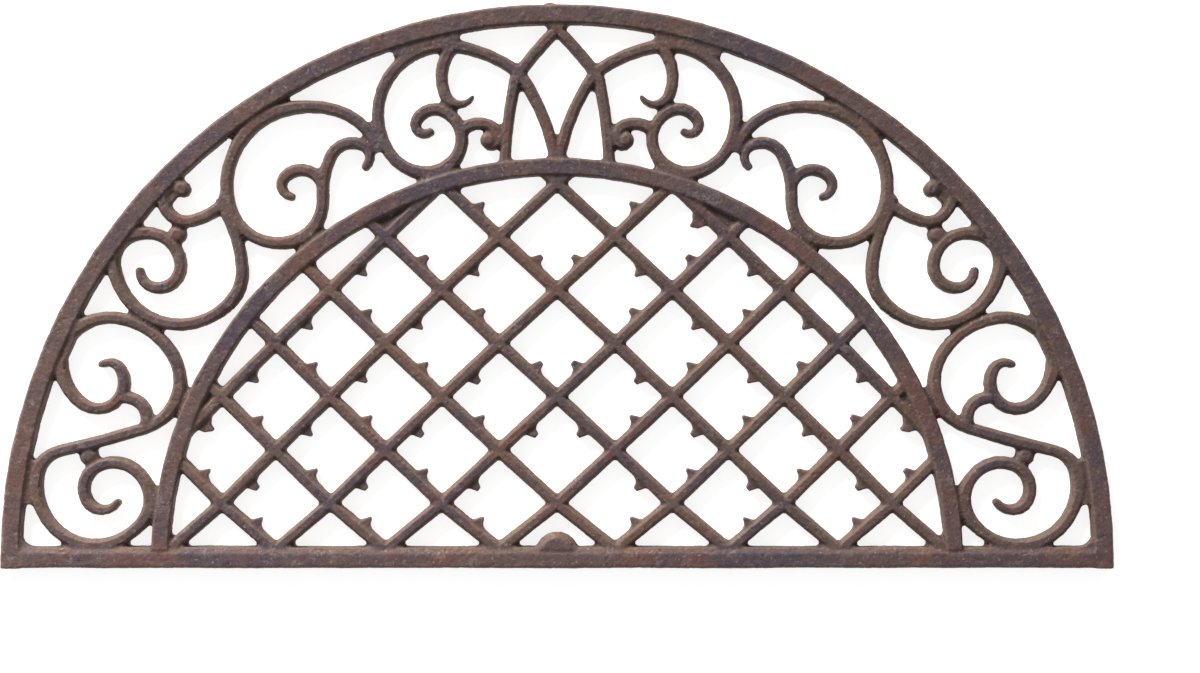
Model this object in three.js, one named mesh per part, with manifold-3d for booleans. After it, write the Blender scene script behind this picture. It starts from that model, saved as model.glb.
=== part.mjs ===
// Half-round door mat in cast iron: a bow on a straight base bar, an inner arch that holds a
// lattice with thorns, and a band of scrolls between the arch and the bow.
// Millimetres. X runs along the base bar, Y towards the bow's crown, Z up to the trodden face.
// The origin is the bow's centre, on the underside.
import * as THREE from "three";
import { mergeVertices } from "three/addons/utils/BufferGeometryUtils.js";
import Module from "manifold-3d";

const wasm = await Module();
wasm.setup();

// Rims: the bow, the base bar and the inner arch
const BOW_RADIUS = 380; // outer edge of the bow
const BOW_WIDTH = 13.8;
const BASE_WIDTH = 14.7;
const BASE_BEYOND_CENTRE = 5.7; // the base bar's outer edge lies this far below the bow's centre
const ARCH_RADIUS = 277.4; // outer edge of the inner arch
const ARCH_WIDTH = 12.4;
const ARCH_DROP = 2.4; // the arch's centre lies this far below the bow's centre
const RIM_HEIGHT = 14;

// Lattice
const COLUMN_PITCH = 40; // from one column of crossings to the next, at the middle
const COLUMN_NARROWING = 0.3; // each column is narrower than the one before by twice this
const ROW_PITCH = 36.5;
const FIRST_ROW_RISE = 29.3; // from the base bar's upper edge to the lowest crossings
const FEET_SINK = 2.2; // the lowest bars meet this far below the base bar's upper edge
const LATTICE_WIDTH = 8.4;
const LATTICE_HEIGHT = 12.4;

// Thorns on the lattice bars
const THORN_LENGTH = 11.7; // along the bar
const THORN_RISE = 6.2; // out from the bar's side
const THORN_HEIGHT = 9.5;
const THORN_ROOT = 0.5; // how far it reaches into the bar
const THORN_TIP = [0.36, 0.48]; // its blunt tip's ends, as shares of its length
const THORN_TIP_SLOPE = 0.93; // height of the tip's second end, as a share of the rise
const THORN_HOLLOW = [0.52, 0.15]; // where its hollow front bends, as shares of length and rise
const LOWER_THORN_PLACE = 0.58; // share of a cell's lower side, from its outer corner
const UPPER_THORN_PLACE = 0.49; // the same on its upper side
const TOP_ROW_WITH_UPPER_THORNS = 5;

// Scrolls, crown ribs, beads and balls
const SCROLL_WIDTH = 8.2;
const SCROLL_HEIGHT = 12.4;
const RIB_WIDTH = 7.8;
const TIP_SHARE = 0.62; // a curl's width at its tip, as a share of the full width
const POINT_SHARE = 0.3; // the same for the crown scroll's pointed hook
const TIP_TAPER = 22; // length over which a curl narrows
const NOSE_LENGTH_SHARE = 0.33; // a tip's blunt nose, as shares of the tip's width
const NOSE_WIDTH_SHARE = 0.55;
const BALL_RADIUS = 5.4;
const BEAD_RADIUS = 6.2;
const BEAD_HEIGHT = 11.4;

// Small parts of the rims
const BOSS_RADIUS = 15;
const BOSS_BEVEL = 3.6;
const BOSS_SINK = 5.2; // its middle lies this far below the base bar's upper edge
const WEB_HEIGHT = 4.5; // floor of the closed pockets between the arch and the lattice
const CORNER_FILLET = 5.5; // between the base bar and the bow's feet
const GATE_PLACE = -5; // stub of the pouring gate on the bow's crown, left of the middle
const GATE_WIDTH = 8.2;
const GATE_RISE = 1.2;
const GATE_HEIGHT = 11;

// Casting section: a drafted bar with bevelled shoulders
const DRAFT_SHARE = 0.94; // shoulder width over foot width
const RIM_CROWN_SHARE = 0.76; // flat crown over foot width
const BAR_CROWN_SHARE = 0.5;
const RIM_BEVEL = 2.2;
const BAR_BEVEL = 3;

const CLEARANCE = 0.3; // split line between members
const CURVE_TOLERANCE = 0.22; // of the scrolls' curves
const RIM_TOLERANCE = 0.2;
const MERGE_TOLERANCE = 0.05; // slivers thinner than this are merged away
const UNDER_CUT = 1; // how far a cutting body reaches below the underside

const RIM_SECTION = { height: RIM_HEIGHT, crown: RIM_CROWN_SHARE, bevel: RIM_BEVEL };
const LATTICE_SECTION = { height: LATTICE_HEIGHT, crown: BAR_CROWN_SHARE, bevel: BAR_BEVEL };
const SCROLL_SECTION = { height: SCROLL_HEIGHT, crown: BAR_CROWN_SHARE, bevel: BAR_BEVEL };

const BASE_TOP = BASE_WIDTH - BASE_BEYOND_CENTRE;
const BASE_MIDDLE = BASE_WIDTH / 2 - BASE_BEYOND_CENTRE;
const BOW_INNER_RADIUS = BOW_RADIUS - BOW_WIDTH;
const ARCH_INNER_RADIUS = ARCH_RADIUS - ARCH_WIDTH;
const ROW_LIMIT = Math.ceil(ARCH_RADIUS / ROW_PITCH) + 1; // rows and columns of the lattice beyond
const COLUMN_LIMIT = Math.ceil(ARCH_RADIUS / COLUMN_PITCH) + 1; // these lie outside the arch

const radians = THREE.MathUtils.degToRad;

// Solids

function solidOf(geometry) {
  const plain = geometry.clone();
  plain.deleteAttribute("normal");
  plain.deleteAttribute("uv");
  const merged = mergeVertices(plain, 1e-4);
  const corners = merged.index.array;
  const triangles = [];
  for (let k = 0; k < corners.length; k += 3) {
    const [a, b, c] = corners.subarray(k, k + 3);
    if (a !== b && b !== c && c !== a) triangles.push(a, b, c);
  }
  return new wasm.Manifold(
    new wasm.Mesh({
      numProp: 3,
      vertProperties: merged.attributes.position.array,
      triVerts: new Uint32Array(triangles),
    }),
  );
}

function meshOf(name, solid, material) {
  const { vertProperties, triVerts } = solid.asOriginal().simplify(MERGE_TOLERANCE).getMesh();
  const geometry = new THREE.BufferGeometry();
  geometry.setAttribute("position", new THREE.BufferAttribute(vertProperties, 3));
  geometry.setIndex(new THREE.BufferAttribute(triVerts, 1));
  geometry.computeVertexNormals();
  const mesh = new THREE.Mesh(geometry, material);
  mesh.name = name;
  return mesh;
}

function slab(bottom, top) {
  const span = 3 * BOW_RADIUS;
  const box = new THREE.BoxGeometry(span, span, top - bottom);
  return solidOf(box.translate(0, 0, (bottom + top) / 2));
}

function prism(points, bottom, top) {
  const geometry = new THREE.ExtrudeGeometry(new THREE.Shape(points), {
    depth: top - bottom,
    bevelEnabled: false,
  });
  return solidOf(geometry.translate(0, 0, bottom));
}

// A domed or bevelled round boss standing on the underside's plane.
function roundBoss(centre, radius, height, bevel, crownRadius, gap = 0) {
  const foot = gap > 0 ? -UNDER_CUT : 0;
  const profile = [
    new THREE.Vector2(0, foot),
    new THREE.Vector2(radius + gap, foot),
    new THREE.Vector2(radius + gap, height - bevel),
    new THREE.Vector2(crownRadius + gap, height + gap),
    new THREE.Vector2(0, height + gap),
  ];
  const segments = Math.ceil(Math.PI / Math.acos(1 - CURVE_TOLERANCE / radius));
  const lathe = new THREE.LatheGeometry(profile, segments).rotateX(Math.PI / 2);
  return solidOf(lathe.translate(centre.x, centre.y, 0));
}

// One cross-section of a bar: pairs of (across, up), anticlockwise seen along the bar.
function sectionPoints(halfWidth, section, gap) {
  const foot = gap > 0 ? -UNDER_CUT : 0;
  const shoulder = halfWidth * DRAFT_SHARE + gap;
  const crown = halfWidth * section.crown + gap;
  const shoulderHeight = section.height - section.bevel;
  return [
    [halfWidth + gap, foot],
    [shoulder, shoulderHeight],
    [crown, section.height + gap],
    [-crown, section.height + gap],
    [-shoulder, shoulderHeight],
    [-halfWidth - gap, foot],
  ];
}

// Runs the section along a line of stations, each with a place, a direction and a width.
function loft(stations, section, gap = 0) {
  const rings = stations.map(({ place, direction, width }, k) => {
    const end = k === 0 ? -1 : k === stations.length - 1 ? 1 : 0;
    const at = place.clone().addScaledVector(direction, end * gap);
    const left = new THREE.Vector2(-direction.y, direction.x);
    return sectionPoints(width / 2, section, gap).map(([across, up]) => [
      at.x + left.x * across,
      at.y + left.y * across,
      up,
    ]);
  });
  const corners = rings[0].length;
  const index = [];
  for (let k = 0; k < stations.length - 1; k += 1) {
    for (let c = 0; c < corners; c += 1) {
      const a = k * corners + c;
      const b = k * corners + ((c + 1) % corners);
      index.push(a, b, a + corners, b, b + corners, a + corners);
    }
  }
  const last = (stations.length - 1) * corners;
  for (let c = 1; c < corners - 1; c += 1) {
    index.push(0, c + 1, c);
    index.push(last, last + c, last + c + 1);
  }
  const geometry = new THREE.BufferGeometry();
  geometry.setAttribute("position", new THREE.Float32BufferAttribute(rings.flat(2), 3));
  geometry.setIndex(index);
  return solidOf(geometry);
}

// Centre lines

function straightLine(from, to, width) {
  const direction = to.clone().sub(from).normalize();
  return [from, to].map((place) => ({ place, direction, width }));
}

// Part of a circle about (0, centreY), from one angle to another, anticlockwise from +X.
function circleLine(centreY, radius, from, to, width) {
  const step = 2 * Math.acos(1 - RIM_TOLERANCE / radius);
  const count = Math.ceil((to - from) / step);
  return Array.from({ length: count + 1 }, (_, k) => {
    const angle = from + ((to - from) * k) / count;
    return {
      place: new THREE.Vector2(radius * Math.cos(angle), centreY + radius * Math.sin(angle)),
      direction: new THREE.Vector2(-Math.sin(angle), Math.cos(angle)),
      width,
    };
  });
}

// Rims

const archMiddleRadius = ARCH_RADIUS - ARCH_WIDTH / 2;
const archFootAngle = Math.asin((BASE_MIDDLE + ARCH_DROP) / archMiddleRadius);
const archLine = circleLine(
  -ARCH_DROP,
  archMiddleRadius,
  archFootAngle,
  Math.PI - archFootAngle,
  ARCH_WIDTH,
);
const baseLine = straightLine(
  new THREE.Vector2(-BOW_INNER_RADIUS - CLEARANCE, BASE_MIDDLE),
  new THREE.Vector2(BOW_INNER_RADIUS + CLEARANCE, BASE_MIDDLE),
  BASE_WIDTH,
);

// The bow runs straight on below its centre, down to the base bar's outer edge.
function bowLine() {
  const line = circleLine(0, BOW_RADIUS - BOW_WIDTH / 2, 0, Math.PI, BOW_WIDTH);
  const foot = ({ place, direction, width }) => ({
    place: new THREE.Vector2(place.x, -BASE_BEYOND_CENTRE),
    direction,
    width,
  });
  return [foot(line[0]), ...line, foot(line.at(-1))];
}

// A low mound stands on the bow's outer half where the pouring gate was broken off.
function gateStub() {
  const radius = (GATE_WIDTH ** 2 / 4 + GATE_RISE ** 2) / (2 * GATE_RISE);
  const reach = BOW_RADIUS + GATE_RISE - radius;
  const centre = new THREE.Vector2(GATE_PLACE, Math.sqrt(reach ** 2 - GATE_PLACE ** 2));
  const mound = roundBoss(centre, radius, GATE_HEIGHT, BAR_BEVEL, radius - BAR_BEVEL);
  return mound.trimByPlane([centre.x / reach, centre.y / reach, 0], BOW_RADIUS - BOW_WIDTH / 2);
}

// The hollow corner between the base bar and one of the bow's feet.
function cornerFillet(side) {
  const sink = 1;
  const corner = new THREE.Vector2(Math.sqrt(BOW_INNER_RADIUS ** 2 - BASE_TOP ** 2), BASE_TOP);
  const shape = new THREE.Shape();
  shape.moveTo(corner.x + sink, corner.y - sink);
  shape.lineTo(corner.x + sink, corner.y + CORNER_FILLET);
  shape.lineTo(corner.x, corner.y + CORNER_FILLET);
  shape.absarc(
    corner.x - CORNER_FILLET,
    corner.y + CORNER_FILLET,
    CORNER_FILLET,
    0,
    -Math.PI / 2,
    true,
  );
  shape.lineTo(corner.x - CORNER_FILLET, corner.y - sink);
  const points = shape.getPoints(4).map(({ x, y }) => new THREE.Vector2(side * x, y));
  return prism(points, 0, RIM_HEIGHT - RIM_BEVEL);
}

// The band between the arch's outer edge and the bow's inner edge is where the scrolls lie.
// A place in it is an angle from the crown and a share across, 0 at the arch and 1 at the bow.

function archEdge(angle) {
  const across = ARCH_DROP * Math.sin(angle);
  return Math.sqrt(ARCH_RADIUS ** 2 - across ** 2) - ARCH_DROP * Math.cos(angle);
}

function bandPlace(angle, share) {
  const radius = THREE.MathUtils.lerp(archEdge(angle), BOW_INNER_RADIUS, share);
  return new THREE.Vector2(radius * Math.sin(angle), radius * Math.cos(angle));
}

// The scrolls are drawn with the band's width as their unit, in a band whose inner radius is
// this many widths, and each point is then laid in the real band by its angle and share.
const DRAWN_ARCH_RATIO = 3.05;

function drawnPlace(angle, share) {
  const radius = DRAWN_ARCH_RATIO + share;
  return new THREE.Vector2(radius * Math.sin(angle), radius * Math.cos(angle));
}

function laidInBand(drawn) {
  return bandPlace(Math.atan2(drawn.x, drawn.y), drawn.length() - DRAWN_ARCH_RATIO);
}

// Walks a chain of tangent arcs, each a turn in degrees and a radius in band widths.
function arcChain({ from: [angle, share], heading, arcs }) {
  const bandWidth = BOW_INNER_RADIUS - ARCH_RADIUS;
  const at = drawnPlace(radians(angle), share);
  let bearing = radians(heading);
  const points = [{ at: at.clone(), bearing }];
  for (const [turn, radius] of arcs) {
    const sweep = radians(turn);
    const step = 2 * Math.acos(1 - Math.min(0.5, CURVE_TOLERANCE / (radius * bandWidth)));
    const count = Math.ceil(Math.abs(sweep) / step);
    const chord = 2 * radius * Math.sin(Math.abs(sweep) / count / 2);
    for (let k = 0; k < count; k += 1) {
      const along = bearing + sweep / count / 2;
      at.add(new THREE.Vector2(chord * Math.cos(along), chord * Math.sin(along)));
      bearing += sweep / count;
      points.push({ at: at.clone(), bearing });
    }
  }
  return points;
}

// Lays a chain in the band on one side (1 right, -1 left) and gives it its widths.
function scrollLine(drawing, side, width = SCROLL_WIDTH) {
  const probe = 0.01;
  const stations = arcChain(drawing).map(({ at, bearing }) => {
    const ahead = new THREE.Vector2(Math.cos(bearing), Math.sin(bearing)).multiplyScalar(probe);
    const place = laidInBand(at);
    const direction = laidInBand(at.clone().add(ahead)).sub(place).normalize();
    place.x *= side;
    direction.x *= side;
    return { place, direction, width };
  });
  const lengths = [0];
  for (let k = 1; k < stations.length; k += 1) {
    lengths.push(lengths[k - 1] + stations[k].place.distanceTo(stations[k - 1].place));
  }
  const total = lengths.at(-1);
  stations.forEach((station, k) => {
    const fromTips = [];
    if (drawing.tips.includes("start")) fromTips.push(lengths[k]);
    if (drawing.tips.includes("end")) fromTips.push(total - lengths[k]);
    const nearest = Math.min(TIP_TAPER, ...fromTips);
    const tipShare = drawing.tipShare ?? TIP_SHARE;
    station.width = width * THREE.MathUtils.lerp(tipShare, 1, nearest / TIP_TAPER);
  });
  if (drawing.tips.includes("start")) stations.unshift(noseOf(stations[0], -1));
  if (drawing.tips.includes("end")) stations.push(noseOf(stations.at(-1), 1));
  return stations;
}

// A blunt nose closes a curl's tip.
function noseOf({ place, direction, width }, end) {
  return {
    place: place.clone().addScaledVector(direction, end * width * NOSE_LENGTH_SHARE),
    direction,
    width: width * NOSE_WIDTH_SHARE,
  };
}

const LOWER_SCROLL = {
  from: [82.5, 0.29],
  heading: -57,
  arcs: [
    [120, 0.14],
    [95, 0.19],
    [150, 0.28],
    [155, 0.45],
    [65, 0.22],
    [-5, 7.52],
    [-105, 0.38],
    [-50, 0.6],
    [-155, 0.36],
    [-155, 0.2],
    [-90, 0.1],
  ],
  tips: ["start", "end"],
};
const LOWER_HOOK = {
  from: [69.5, 0.45],
  heading: -177,
  arcs: [
    [20, 0.27],
    [80, 0.15],
  ],
  tips: [],
};
const MIDDLE_SCROLL = {
  from: [55.25, 0.79],
  heading: -88,
  arcs: [
    [-80, 0.13],
    [-105, 0.17],
    [-190, 0.25],
    [-135, 0.5],
    [-35, 0.31],
    [-34, 1.06],
  ],
  tips: ["start"],
};
const HOOK_SCROLL = {
  from: [43.25, 0.64],
  heading: -43,
  arcs: [
    [30, 0.52],
    [125, 0.17],
    [115, 0.08],
  ],
  tips: [],
};
const UPPER_SCROLL = {
  from: [23.5, 0.32],
  heading: 71,
  arcs: [
    [-55, 0.49],
    [-45, 0.69],
    [-75, 0.59],
    [-95, 0.38],
    [-75, 0.32],
    [30, 0.62],
    [90, 0.18],
    [115, 0.1],
  ],
  tips: ["end"],
};
const UPPER_CURL = {
  from: [32, 0.3],
  heading: 70,
  arcs: [
    [-120, 0.17],
    [-125, 0.09],
  ],
  tips: ["end"],
};
const CROWN_SCROLL = {
  from: [4.5, 0.65],
  heading: 37,
  arcs: [
    [-30, 1.01],
    [-130, 0.52],
    [-95, 0.32],
    [-120, 0.23],
    [-85, 0.16],
    [-160, 0.07],
  ],
  tips: ["end"],
};
const CROWN_UPPER_HOOK = {
  from: [11.5, 0.91],
  heading: -48,
  arcs: [
    [-65, 0.34],
    [-125, 0.12],
  ],
  tips: ["end"],
  tipShare: POINT_SHARE,
};
const CROWN_LOWER_HOOK = {
  from: [12.25, 0.29],
  heading: 142,
  arcs: [
    [60, 0.2],
    [55, 0.11],
    [125, 0.055],
  ],
  tips: [],
};
const LANCET = {
  from: [7.6, -0.04],
  heading: 92,
  arcs: [
    [10, 3.75],
    [25, 0.1],
    [10, 3],
  ],
  tips: [],
};
const VEE = {
  from: [4.5, 0.65],
  heading: -126,
  arcs: [
    [5, 1.65],
    [25, 1.5],
  ],
  tips: [],
};
const HOOK_BALL = [45.3, 0.93];
const CROWN_BALL = [9.3, 0.17];
const MIDDLE_BEAD = [49.4, 0.73];
const LOWER_BEAD = [77.5, 0.57];

function sidePlace([angle, share], side) {
  const place = bandPlace(radians(angle), share);
  place.x *= side;
  return place;
}

// Lattice: crossings lie at whole columns and rows whose sum is odd, row 0 on the base bar.

function latticePlace(column, row) {
  const reach = Math.abs(column);
  const x = Math.sign(column) * (COLUMN_PITCH * reach - COLUMN_NARROWING * reach ** 2);
  const feet = BASE_TOP - FEET_SINK;
  const first = BASE_TOP + FIRST_ROW_RISE;
  const y = row < 1 ? THREE.MathUtils.lerp(feet, first, row) : first + ROW_PITCH * (row - 1);
  return new THREE.Vector2(x, y);
}

function insideArch(place, radius) {
  return Math.hypot(place.x, place.y + ARCH_DROP) < radius;
}

// The row, whole or not, at which a bar's centre line passes the middle of the arch.
function rowAtArch(foot, side, low, high) {
  let inside = low;
  let outside = high;
  for (let k = 0; k < 40; k += 1) {
    const middle = (inside + outside) / 2;
    const place = latticePlace(foot + side * middle, middle);
    if (insideArch(place, archMiddleRadius)) inside = middle;
    else outside = middle;
  }
  return inside;
}

// The rows of a bar's two ends and of its crossings between them.
function barRows(foot, side) {
  const middleRow = Math.max(0.5, (-side * foot) / 2);
  const standsOnBase = insideArch(latticePlace(foot, 0), archMiddleRadius);
  const lowest = standsOnBase ? 0 : rowAtArch(foot, side, middleRow, 0);
  const highest = rowAtArch(foot, side, middleRow, ROW_LIMIT);
  const rows = [lowest];
  for (let row = Math.floor(lowest) + 1; row < highest; row += 1) rows.push(row);
  return [...rows, highest];
}

// A bar that rises to the right (side 1) or to the left (-1) from a column on the base row.
function latticeBar(foot, side) {
  const places = barRows(foot, side).map((row) => latticePlace(foot + side * row, row));
  return places.map((place, k) => {
    const before = places[Math.max(0, k - 1)];
    const after = places[Math.min(places.length - 1, k + 1)];
    return { place, direction: after.clone().sub(before).normalize(), width: LATTICE_WIDTH };
  });
}

// The columns on the base row from which bars rise to the right: each has a crossing well inside
// the arch.
function barFeet() {
  const radius = ARCH_INNER_RADIUS - LATTICE_WIDTH;
  const feet = [];
  for (let foot = 1 - 2 * (ROW_LIMIT + COLUMN_LIMIT); foot < COLUMN_LIMIT; foot += 2) {
    const rows = Array.from({ length: ROW_LIMIT }, (_, k) => k + 1);
    if (rows.some((row) => insideArch(latticePlace(foot + row, row), radius))) feet.push(foot);
  }
  return feet;
}

const BAR_FEET = barFeet();

// A thorn on one side of a cell, its tip curled back over the cell's outer corner.
function thorn(outerCorner, innerCorner, cellCentre) {
  const from = latticePlace(...outerCorner);
  const to = latticePlace(...innerCorner);
  const along = to.clone().sub(from).normalize();
  const inwards = latticePlace(...cellCentre).sub(from);
  inwards.addScaledVector(along, -inwards.dot(along)).normalize();
  const isUpper = innerCorner[1] > outerCorner[1];
  const root = from.clone().lerp(to, isUpper ? UPPER_THORN_PLACE : LOWER_THORN_PLACE);
  const side = LATTICE_WIDTH / 2;
  const start = -THORN_LENGTH / 2;
  const outline = new THREE.Shape();
  outline.moveTo(start, side * DRAFT_SHARE - THORN_ROOT);
  outline.lineTo(start, side * DRAFT_SHARE);
  outline.lineTo(start + THORN_TIP[0] * THORN_LENGTH, side + THORN_RISE);
  outline.lineTo(start + THORN_TIP[1] * THORN_LENGTH, side + THORN_TIP_SLOPE * THORN_RISE);
  outline.quadraticCurveTo(
    start + THORN_HOLLOW[0] * THORN_LENGTH,
    side + THORN_HOLLOW[1] * THORN_RISE,
    start + THORN_LENGTH,
    side * DRAFT_SHARE,
  );
  outline.lineTo(start + THORN_LENGTH, side * DRAFT_SHARE - THORN_ROOT);
  const points = outline
    .getPoints(2)
    .map(({ x, y }) => root.clone().addScaledVector(along, x).addScaledVector(inwards, y));
  return { root, solid: prism(points, 0, THORN_HEIGHT) };
}

// Which sides of which cells carry a thorn: each cell off the middle line has one on both of its
// outer sides, below the top row, and the middle cells have theirs in pairs.
function thornedSides() {
  const sides = [];
  for (let row = 1; row <= ROW_LIMIT; row += 1) {
    for (let column = 1; column <= COLUMN_LIMIT; column += 1) {
      if ((column + row) % 2 !== 0) continue;
      const lower = [[column + 1, row], [column, row - 1], [column, row]];
      const upper = [[column + 1, row], [column, row + 1], [column, row]];
      sides.push(lower);
      if (row <= TOP_ROW_WITH_UPPER_THORNS) sides.push(upper);
    }
  }
  sides.push([[1, 2], [0, 3], [0, 2]]);
  sides.push([[1, 4], [0, 3], [0, 4]]);
  sides.push([[1, 6], [0, 5], [0, 6]]);
  return sides;
}

// The thorns of one bar: a bar that rises to the right holds the corners on its own diagonal.
function thornsOf(foot, side) {
  const thorns = [];
  for (const corners of thornedSides()) {
    for (const half of [1, -1]) {
      const [outer, inner, centre] = corners.map(([column, row]) => [half * column, row]);
      const onBar = ([column, row]) => column - side * row === foot;
      if (!onBar(outer) || !onBar(inner)) continue;
      const { root, solid } = thorn(outer, inner, centre);
      if (insideArch(root, ARCH_INNER_RADIUS)) thorns.push(solid);
    }
  }
  return thorns;
}

// Where the outermost bars run close along the arch, the pockets between are closed by a web.
function pocketWebs(side) {
  const rows = barRows(side * BAR_FEET[0], side);
  const outermost = latticeBar(side * BAR_FEET[0], side);
  const ends = [outermost[0], outermost.at(-1)];
  return [rows[1], rows.at(-2)].map((row, k) => {
    const column = side * (BAR_FEET[0] + row);
    const crossing = latticeBar(column + side * row, -side);
    const corners = [latticePlace(column, row), ends[k].place, crossing.at(-1).place];
    const web = prism(corners, 0, WEB_HEIGHT);
    return web
      .subtract(loft(outermost, LATTICE_SECTION, CLEARANCE))
      .subtract(loft(crossing, LATTICE_SECTION, CLEARANCE));
  });
}

// Members, the senior ones first: each is trimmed to clear all that stand before it.

function member(name, line, section, extras = []) {
  const joined = (gap) => loft(line, section, gap);
  const solid = extras.reduce((sum, extra) => sum.add(extra.solid), joined(0));
  const cutter = extras.reduce((sum, extra) => sum.add(extra.cutter), joined(CLEARANCE));
  return { name, solid, cutter };
}

function lofted(line, section) {
  return { solid: loft(line, section), cutter: loft(line, section, CLEARANCE) };
}

function bossed(...sizes) {
  return { solid: roundBoss(...sizes), cutter: roundBoss(...sizes, CLEARANCE) };
}

function asIs(solid) {
  return { solid, cutter: solid };
}

function sideMembers(side) {
  const label = side > 0 ? "right" : "left";
  const line = (drawing, width) => scrollLine(drawing, side, width);
  const ball = (place) =>
    bossed(sidePlace(place, side), BALL_RADIUS, RIM_HEIGHT, BAR_BEVEL, BALL_RADIUS / 2);
  const scroll = (name, drawing, extras) =>
    member(`${label}_${name}`, line(drawing), SCROLL_SECTION, extras);
  const branch = (drawing) => lofted(line(drawing), SCROLL_SECTION);
  const bead = (name, place) => ({
    name: `${label}_${name}`,
    ...bossed(sidePlace(place, side), BEAD_RADIUS, BEAD_HEIGHT, BAR_BEVEL, BEAD_RADIUS / 2),
  });
  return [
    scroll("crown_scroll", CROWN_SCROLL, [
      branch(CROWN_UPPER_HOOK),
      branch(CROWN_LOWER_HOOK),
      ball(CROWN_BALL),
    ]),
    scroll("upper_scroll", UPPER_SCROLL, [branch(UPPER_CURL)]),
    scroll("middle_scroll", MIDDLE_SCROLL, []),
    scroll("lower_scroll", LOWER_SCROLL, [branch(LOWER_HOOK)]),
    scroll("hook_scroll", HOOK_SCROLL, [ball(HOOK_BALL)]),
    bead("middle_bead", MIDDLE_BEAD),
    bead("lower_bead", LOWER_BEAD),
  ];
}

// A pair of crown ribs, which stand on the arch and end at its middle line.
function ribs(name, drawing) {
  const [right, left] = [1, -1].map((side) => scrollLine(drawing, side, RIB_WIDTH));
  const { solid, cutter } = member(name, right, SCROLL_SECTION, [lofted(left, SCROLL_SECTION)]);
  const withinArch = prism(archLine.map(({ place }) => place), -UNDER_CUT, RIM_HEIGHT);
  return { name, solid: solid.subtract(withinArch), cutter };
}

function frameMembers() {
  const bossMiddle = new THREE.Vector2(0, BASE_TOP - BOSS_SINK);
  const boss = bossed(bossMiddle, BOSS_RADIUS, RIM_HEIGHT, BAR_BEVEL, BOSS_RADIUS - BOSS_BEVEL);
  return [
    member("outer_bow", bowLine(), RIM_SECTION, [asIs(gateStub())]),
    member("base_bar", baseLine, RIM_SECTION, [asIs(cornerFillet(1)), asIs(cornerFillet(-1))]),
    member("inner_arch", archLine, RIM_SECTION),
    { ...boss, name: "base_boss", solid: boss.solid.trimByPlane([0, 1, 0], BASE_MIDDLE) },
    ribs("crown_lancets", LANCET),
    ribs("crown_vee", VEE),
  ];
}

function trimmed(members) {
  const cutters = [];
  return members.map(({ name, solid, cutter }) => {
    const own = cutters.reduce((rest, senior) => rest.subtract(senior), solid);
    cutters.push(cutter);
    return { name, solid: own };
  });
}

// Bars are half-lapped where they cross: those rising to the left lie over the others.
function latticeMembers(seniors) {
  const lap = LATTICE_HEIGHT / 2;
  const over = slab(lap - CLEARANCE / 2, RIM_HEIGHT * 2);
  const under = slab(-2 * UNDER_CUT, lap + CLEARANCE / 2);
  const bars = [1, -1].map((side) => BAR_FEET.map((foot) => latticeBar(side * foot, side)));
  const cutters = bars.map((lines) => lines.map((line) => loft(line, LATTICE_SECTION, CLEARANCE)));
  const sum = (solids) => solids.reduce((total, solid) => total.add(solid));
  const notches = [sum(cutters[1]).intersect(over), sum(cutters[0]).intersect(under)];
  return [1, -1].flatMap((side, way) =>
    BAR_FEET.map((foot, k) => {
      const bar = loft(bars[way][k], LATTICE_SECTION).subtract(notches[way]);
      const thorned = sum([bar, ...thornsOf(side * foot, side)]);
      const solid = seniors.reduce((rest, senior) => rest.subtract(senior.cutter), thorned);
      return { name: `lattice_${side > 0 ? "rising" : "falling"}_bar_${k + 1}`, solid };
    }),
  );
}

const frame = frameMembers();
const scrolls = [1, -1].flatMap(sideMembers);
const bandMembers = trimmed([...frame, ...scrolls]);
const webs = [1, -1].flatMap(pocketWebs);
const arch = bandMembers.find(({ name }) => name === "inner_arch");
const base = frame.find(({ name }) => name === "base_bar");
arch.solid = webs.reduce((sum, web) => sum.add(web), arch.solid).subtract(base.cutter);
const latticeSeniors = frame.filter(({ name }) => ["base_bar", "inner_arch"].includes(name));

const iron = new THREE.MeshStandardMaterial({ color: 0x5b4a45, roughness: 0.78, metalness: 0.35 });
const group = new THREE.Group();
for (const { name, solid } of [...bandMembers, ...latticeMembers(latticeSeniors)]) {
  group.add(meshOf(name, solid, iron.clone()));
}

export default group;
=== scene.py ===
"""Half-round cast iron door mat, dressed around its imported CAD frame.

The mat is one sand casting. So the CAD members are grown together here into one skin, with
fillets in the joints and the grain of sand-cast iron, and the skin is then parted again along
the members. Metres, in the frame of the CAD model: X along the base bar, Y to the crown, Z up.
"""

import logging
from dataclasses import dataclass, field
from enum import Enum

import bmesh
import bpy
import numpy as np
from mathutils import Matrix, Vector, noise
from mathutils.bvhtree import BVHTree


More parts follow.
